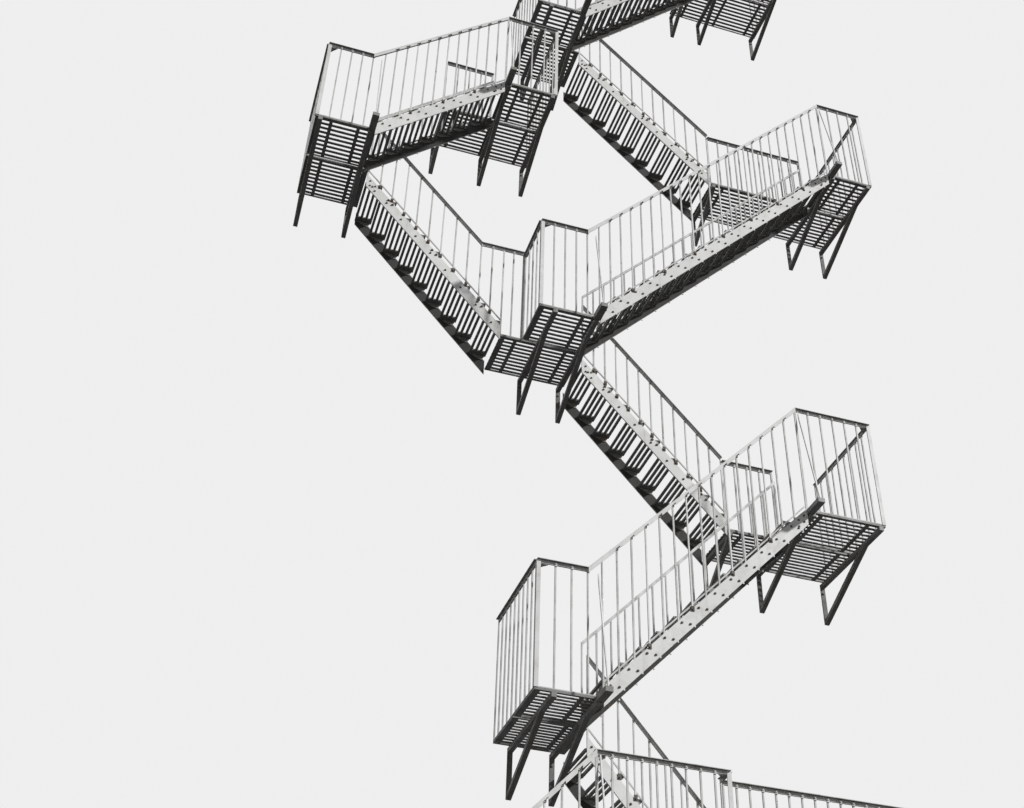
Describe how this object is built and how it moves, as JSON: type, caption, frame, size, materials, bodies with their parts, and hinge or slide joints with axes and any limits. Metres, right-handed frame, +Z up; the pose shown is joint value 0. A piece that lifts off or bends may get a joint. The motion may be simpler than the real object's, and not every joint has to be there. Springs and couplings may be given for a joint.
{
  "type": "fire escape stair",
  "caption": "Steel fire escape stair for a building's wall: switchback flights with open treads, slatted landings, barred guards and wall brackets.",
  "frame": {"origin": "middle of the wall face of a bracket under the lowest balcony", "axes": "+X along the wall towards the ends of the balconies, +Y into the wall, +Z up"},
  "size_m": [7.132, 1.525, 19.9178],
  "materials": {
    "stringer_steel": "worn satin paint",
    "guard_steel": "worn satin paint",
    "tread_steel": "worn satin paint, rubbed on top",
    "floor_steel": "worn satin paint, rubbed on top",
    "bracket_steel": "worn satin paint with rust at the wall"
  },
  "bodies": {
    "root": {"balcony_1_floor": "floor_steel", "balcony_1_guards": "guard_steel", "balcony_2_floor": "floor_steel", "balcony_2_guards": "guard_steel", "balcony_3_floor": "floor_steel", "balcony_3_guards": "guard_steel", "balcony_4_floor": "floor_steel", "balcony_4_guards": "guard_steel", "balcony_brackets": "bracket_steel", "balcony_stays": "stringer_steel", "flight_1_sides": "stringer_steel", "flight_1_treads": "tread_steel", "flight_2_sides": "stringer_steel", "flight_2_treads": "tread_steel", "flight_3_sides": "stringer_steel", "flight_3_treads": "tread_steel", "flight_4_sides": "stringer_steel", "flight_4_treads": "tread_steel", "flight_5_sides": "stringer_steel", "flight_5_treads": "tread_steel", "flight_6_sides": "stringer_steel", "flight_6_treads": "tread_steel", "flight_7_sides": "stringer_steel", "flight_7_treads": "tread_steel", "flight_8_sides": "stringer_steel", "flight_8_treads": "tread_steel", "half_landing_1_floor": "floor_steel", "half_landing_1_guards": "guard_steel", "half_landing_2_floor": "floor_steel", "half_landing_2_guards": "guard_steel", "half_landing_3_floor": "floor_steel", "half_landing_3_guards": "guard_steel", "half_landing_4_floor": "floor_steel", "half_landing_4_guards": "guard_steel", "landing_brackets": "bracket_steel", "landing_stays": "stringer_steel", "side_balcony_floor": "floor_steel", "side_balcony_guards": "guard_steel", "side_flight_1_sides": "stringer_steel", "side_flight_1_treads": "tread_steel", "side_flight_2_sides": "stringer_steel", "side_flight_2_treads": "tread_steel", "side_landing_floor": "floor_steel", "side_landing_guards": "guard_steel"}
  },
  "joints": []
}
